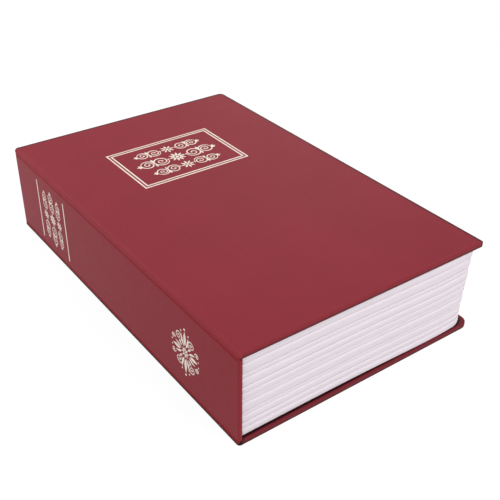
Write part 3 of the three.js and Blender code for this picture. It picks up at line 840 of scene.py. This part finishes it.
# A knot of leaves. Its quarter has scrolls, leaves and dots, as their functions take them.
knotDesign = {
    "drop": 195.8,  # from the head
    "down": 29.0,  # from the front cover's face
    "flower": (3.2, 8, 1.0),
    "scrolls": (((7.2, 5.6), 2.9, 0.62, 1.5, 0.7), ((4.2, 10.2), 1.7, 0.75, 1.3, 0.6)),
    "leaves": (
        ((3.4, 0.9), 0.05, 7.4, 1.3, -0.08),
        ((0.9, 3.4), 0.19, 5.6, 1.2, 0.1),
        ((2.8, 2.8), 0.125, 3.4, 1.2),
    ),
    "dots": (((11.6, 3.2), 0.55), ((1.7, 11.6), 0.45)),
    "acrossLeaf": ((4.2, 0.0), 0.0, 8.4, 2.2),
    "acrossDot": ((13.9, 0.0), 0.7),
    "uprightLeaf": ((0.0, 4.2), 0.25, 6.6, 2.0),
}


def stroke(path, width):
    # A flat ribbon along a path: half its width to each side, eased at the top. Rows run along the path.
    path = np.asarray(path, float)
    width = np.broadcast_to(width, len(path))
    along = np.gradient(path, axis=0)
    along /= np.linalg.norm(along, axis=1)[:, None]
    side = np.stack([-along[:, 1], along[:, 0]], 1) * width[:, None] / 2
    low, high, top = -tooling["sink"], tooling["rise"], tooling["topShare"]
    corners = [(1.0, low), (1.0, high / 2), (top, high), (-top, high), (-1.0, high / 2), (-1.0, low)]
    rings = [np.column_stack([path + side * share, np.full(len(path), z)]) for share, z in corners]
    return loft(np.stack(rings, 1))


def dot(centre, radius):
    # a round dot, as a ribbon along its own diameter, as wide as the circle is there
    share = np.sin(np.linspace(-turn / 4, turn / 4, tooling["dotPoints"])) * tooling["dotShare"]
    path = np.column_stack([centre[0] + radius * share, np.full(len(share), centre[1])])
    return stroke(path, 2 * radius * np.sqrt(1 - share ** 2))


def curl(centre, radius, start, turns, closing=0.0, points=tooling["curlPoints"]):
    # points on a circle, or on a spiral that closes in by a share of its radius
    share = np.linspace(0, 1, points)
    angle = turn * (start + turns * share)
    reach = radius * (1 - closing * share)
    return np.column_stack([centre[0] + reach * np.cos(angle), centre[1] + reach * np.sin(angle)])


def scroll(centre, radius, start, turns, width):
    # a spiral that thins towards its middle, with a dot at its end
    path = curl(centre, radius, start, turns, tooling["curlClosing"])
    ribbon = stroke(path, width * np.linspace(1, tooling["curlTail"], len(path)))
    return [ribbon, dot(path[-1], width * tooling["curlDot"])]


def leaf(root, angle, length, width, bend=0.0):
    # A leaf from its root to its tip, widest before the middle: its width is a sine of the share of its
    # length, each raised to a power near one.
    points = tooling["leafPoints"]
    inner, outer = tooling["leafPowers"]
    share = np.linspace(0, 1, points)
    heading = turn * (angle + bend * (share - 0.5))
    steps = np.column_stack([np.cos(heading), np.sin(heading)]) * length / (points - 1)
    path = np.asarray(root) + np.cumsum(steps, 0) - steps[0]
    return stroke(path, tooling["leafTip"] + width * np.sin(math.pi * share ** inner) ** outer)


def ruledFrame(width, height, rule):
    # a mitred rectangle, one row for each corner
    rise, sink = tooling["rise"], -tooling["sink"]
    near = [(0.0, sink), (0.0, rise / 2), (tooling["ruleEase"], rise)]
    section = near + [(rule - inset, z) for inset, z in near[::-1]]
    rings = []
    for x, y in ((1, -1), (1, 1), (-1, 1), (-1, -1)):
        rings.append([[x * (width / 2 - inset), y * (height / 2 - inset), z] for inset, z in section])
    return loft(np.array(rings), closed=True)


def mirrored(shells, x=1, y=1):
    return [(points * np.array([x, y, 1]), faces) for points, faces in shells]


def moved(shells, x, y):
    return [(points + np.array([x, y, 0]), faces) for points, faces in shells]


def fourfold(quarter, across=(), upright=()):
    # a quarter mirrored to all four, with what lies on an axis once at each end of it
    shells = []
    for side in (1, -1):
        shells += mirrored(quarter, side, 1) + mirrored(quarter, side, -1)
        shells += mirrored(across, side, 1) + mirrored(upright, 1, side)
    return shells


def layered(shells):
    # each ribbon a hair higher than the last, in layers by turns, so that one is on top where two cross
    layers = []
    for order, (points, faces) in enumerate(shells):
        gain = 1 + tooling["layerGain"] * (order % tooling["layers"])
        layers.append((points * np.array([1, 1, gain]), faces))
    return joinShells(layers)


def rosette(radius, petals, width):
    # petals round a dot
    heart = tooling["heartShare"]
    shells = [dot((0, 0), radius * heart * tooling["heartDot"])]
    for petal in range(petals):
        angle = petal / petals
        root = (radius * heart * math.cos(turn * angle), radius * heart * math.sin(turn * angle))
        shells.append(leaf(root, angle, radius * (1 - heart), width))
    return shells


def runningScroll(height, weight):
    # One side of a row: a stem in a wave of two half circles. At the end of each a spiral curls back
    # inside it. Leaves fill the hollows at the fork, and the stem ends in three more.
    first, second = (height * share for share in stem["radiusShares"])
    fork, end = 2 * first, 2 * (first + second)
    wave = np.concatenate([
        curl((first, 0), first, 0.5, 0.5, points=stem["points"]),
        curl((fork + second, 0), second, 0.5, -0.5, points=stem["points"])[1:],
    ])
    swell = np.sin(math.pi * np.linspace(*stem["swell"], len(wave))) ** stem["swellPower"]
    shells = [stroke(wave, weight * swell), dot(wave[0], weight * stem["rootDot"])]
    shells += scroll((first, 0), first, 0.0, stem["spiralTurns"], weight)
    shells += scroll((fork + second, 0), second, 0.0, -stem["spiralTurns"], weight)
    for place, angle, length, width in stem["forkLeaves"]:
        shells.append(leaf((fork, place * first), angle, length * first, weight * width))
    for angle, length, bend in stem["endLeaves"]:
        shells.append(leaf((end, 0), angle, length * second, weight * stem["endWidth"], bend))
    return shells


def threeRows(design):
    # rows of running scrolls, each mirrored about a flower in its middle; the middle row is the widest
    middle, outer, rise = design["middleRow"], design["outerRow"], design["rowRise"]
    side = moved(runningScroll(*middle["scroll"]), middle["start"], 0)
    outerSide = moved(runningScroll(*outer["scroll"]), outer["start"], rise)
    outerFlower = moved(rosette(*outer["flower"]), 0, rise)
    return rosette(*middle["flower"]) + side + mirrored(side, -1) + fourfold(outerSide, (), outerFlower)


def coverPanel():
    # a double rule round three rows of scrolls
    look = coverDesign
    width, height, rule = look["panelWidth"], look["panelHeight"], look["ruleWidth"]
    step = rule + look["ruleGap"]
    rules = [ruledFrame(width, height, rule), ruledFrame(width - 2 * step, height - 2 * step, rule)]
    points, faces = layered(rules + threeRows(look))
    middle = (spineLow[0] + coverHigh[0]) / 2 + look["panelShift"]
    points = points + np.array([middle, coverHigh[1] - look["panelDrop"], coverHigh[2]])
    return addMesh("coverTooling", points, faces, sharp=tooling["sharp"])


def leafKnot():
    # a flower, with scrolls, leaves and dots in each quarter round it, and larger leaves on the axes
    look = knotDesign
    quarter = []
    for placed in look["scrolls"]:
        quarter += scroll(*placed)
    quarter += [leaf(*placed) for placed in look["leaves"]] + [dot(*placed) for placed in look["dots"]]
    across = [leaf(*look["acrossLeaf"]), dot(*look["acrossDot"])]
    return rosette(*look["flower"]) + fourfold(quarter, across, [leaf(*look["uprightLeaf"])])


def onSpine(points, y, z):
    # turns tooling drawn flat to stand on the spine: its width runs up the book's thickness
    return np.column_stack([spineLow[0] - points[:, 2], y + points[:, 1], z + points[:, 0]])


def spineTooling():
    # two rules with three rows of scrolls between them near the head, and a knot of leaves near the tail
    look = spineDesign
    head, top = coverHigh[1], coverHigh[2]
    high, low = look["ruleSpan"]
    middle, half = top - (high + low) / 2, (low - high) / 2
    rule = stroke(np.linspace((-half, 0), (half, 0), tooling["rulePoints"]), look["ruleWidth"])
    groups = [([rule], head - drop, middle) for drop in look["ruleDrops"]]
    groups.append((threeRows(look), head - sum(look["ruleDrops"]) / 2, middle))
    groups.append((leafKnot(), head - knotDesign["drop"], top - knotDesign["down"]))
    shells = []
    for group, y, z in groups:
        points, faces = layered(group)
        shells.append((onSpine(points, y, z), faces))
    points, faces = joinShells(shells)
    return addMesh("spineTooling", points, faces, sharp=tooling["sharp"])


finishPiece(coverPanel(), "front_cover", "foil")
finishPiece(spineTooling(), "case", "foil")
print("foil tooling pressed")


# Studio

studio = {
    "azimuth": -36.329,
    "elevation": 33.167,
    "roll": 0.623,
    "distance": 517.8,
    "aim": (23.952, 10.853, 0.0),
    "focalPixels": 827.254,
    "imagePixels": 500,
    "sensorWidth": 36.0,
    "nearClip": 0.01,
    "skyMean": 0.54,
    "skySlope": (-0.16, -0.18, 0.12),
    "floorReach": 6000.0,
    "floorLight": 0.65,
    "floorShadow": 0.12,
    "floorWhite": 1.02,
    "shadowLight": 0.9,  # the light that falls on the floor, taken off its glow
    "lamps": {
        "keyLamp": {"place": (0.25, -0.8, 0.8), "size": 0.7, "power": 5.3},
        "spineLamp": {"place": (-0.95, -0.45, 0.3), "size": 0.7, "power": 1.6},
        "headLamp": {"place": (-0.20, 0.30, 0.30), "size": 0.25, "power": 0.45},
        "sheenLamp": {"place": (0.34, 0.33, 0.28), "size": 0.3, "power": 0.32},
    },
}


def addCamera():
    # looks at the aim point from azimuth and elevation, rolled about its own axis
    azimuth, elevation, roll = (math.radians(studio[key]) for key in ("azimuth", "elevation", "roll"))
    level = math.cos(elevation)
    back = np.array([math.sin(azimuth) * level, -math.cos(azimuth) * level, math.sin(elevation)])
    right = np.cross([0, 0, 1], back) / level
    up = np.cross(back, right)
    matrix = np.eye(4)
    matrix[:3, 0] = right * math.cos(roll) + up * math.sin(roll)
    matrix[:3, 1] = up * math.cos(roll) - right * math.sin(roll)
    matrix[:3, 2] = back
    matrix[:3, 3] = (np.array(studio["aim"]) + back * studio["distance"]) * mm
    data = bpy.data.cameras.new("camera")
    data.sensor_width = studio["sensorWidth"]
    data.lens = studio["focalPixels"] / studio["imagePixels"] * data.sensor_width
    data.clip_start = studio["nearClip"]
    camera = addObject("camera", data)
    camera.matrix_world = Matrix(matrix.tolist())
    bpy.context.scene.camera = camera


def addLamp(name, place, size, power):
    # a round soft lamp aimed at the book
    data = bpy.data.lights.new(name, "AREA")
    data.shape = "DISK"
    data.size = size
    data.energy = power
    lamp = addObject(name, data)
    lamp.location = place
    lamp.rotation_mode = "QUATERNION"
    lamp.rotation_quaternion = (-Vector(place)).to_track_quat("-Z", "Y")


def seenDirectly(nodes):
    # 1 for the camera, for reflections and for what is seen through glass
    rays = ("Is Camera Ray", "Is Glossy Ray", "Is Transmission Ray")
    camera, glossy, through = (nodes.add("ShaderNodeLightPath", output=ray) for ray in rays)
    return camera.join("MAXIMUM", camera.join("MAXIMUM", camera, glossy), through)


def addWorld():
    # White to look at. As a light, it is a mean plus the direction's dot product with a slope.
    world = bpy.data.worlds.new("studio")
    bpy.context.scene.world = world
    nodes = NodeTree(world)
    nodes.tree.nodes.clear()
    white = paint(1, 1, 1)
    way = nodes.add("ShaderNodeTexCoord", output="Generated")
    inputs = {0: way, 1: studio["skySlope"]}
    slope = nodes.add("ShaderNodeVectorMath", {"operation": "DOT_PRODUCT"}, inputs, output="Value")
    light = slope + studio["skyMean"]
    lit = nodes.add("ShaderNodeBackground", inputs={"Color": white, "Strength": light})
    seen = nodes.add("ShaderNodeBackground", inputs={"Color": white, "Strength": 1.0})
    mix = nodes.add("ShaderNodeMixShader", inputs={0: seenDirectly(nodes), 1: lit, 2: seen})
    nodes.add("ShaderNodeOutputWorld", inputs={"Surface": mix})


def addFloor():
    # pale to the light that it throws back, and white to look at, but for a faint shadow
    reach, bounce, shadow = studio["floorReach"], studio["floorLight"], studio["floorShadow"]
    corners = np.array([[-reach, -reach, 0], [reach, -reach, 0], [reach, reach, 0], [-reach, reach, 0]])
    mesh = bpy.data.meshes.new("floor")
    mesh.from_pydata((corners * mm).tolist(), [], [[0, 1, 2, 3]])
    material = bpy.data.materials.new("paleFloor")
    nodes = NodeTree(material)
    nodes.tree.nodes.clear()
    plain = nodes.add("ShaderNodeBsdfDiffuse", inputs={"Color": paint(bounce, bounce, bounce)})
    faint = nodes.add("ShaderNodeBsdfDiffuse", inputs={"Color": paint(shadow, shadow, shadow)})
    white = studio["floorWhite"] - shadow * studio["shadowLight"]
    glow = nodes.add("ShaderNodeEmission", inputs={"Strength": white})
    both = nodes.add("ShaderNodeAddShader", inputs={0: faint, 1: glow})
    mix = nodes.add("ShaderNodeMixShader", inputs={0: seenDirectly(nodes), 1: plain, 2: both})
    nodes.add("ShaderNodeOutputMaterial", inputs={"Surface": mix})
    mesh.materials.append(material)
    addObject("floor", mesh)


addCamera()
addWorld()
addFloor()
for name, lamp in studio["lamps"].items():
    addLamp(name, **lamp)
bpy.context.scene.view_settings.view_transform = "Standard"
print("studio ready")
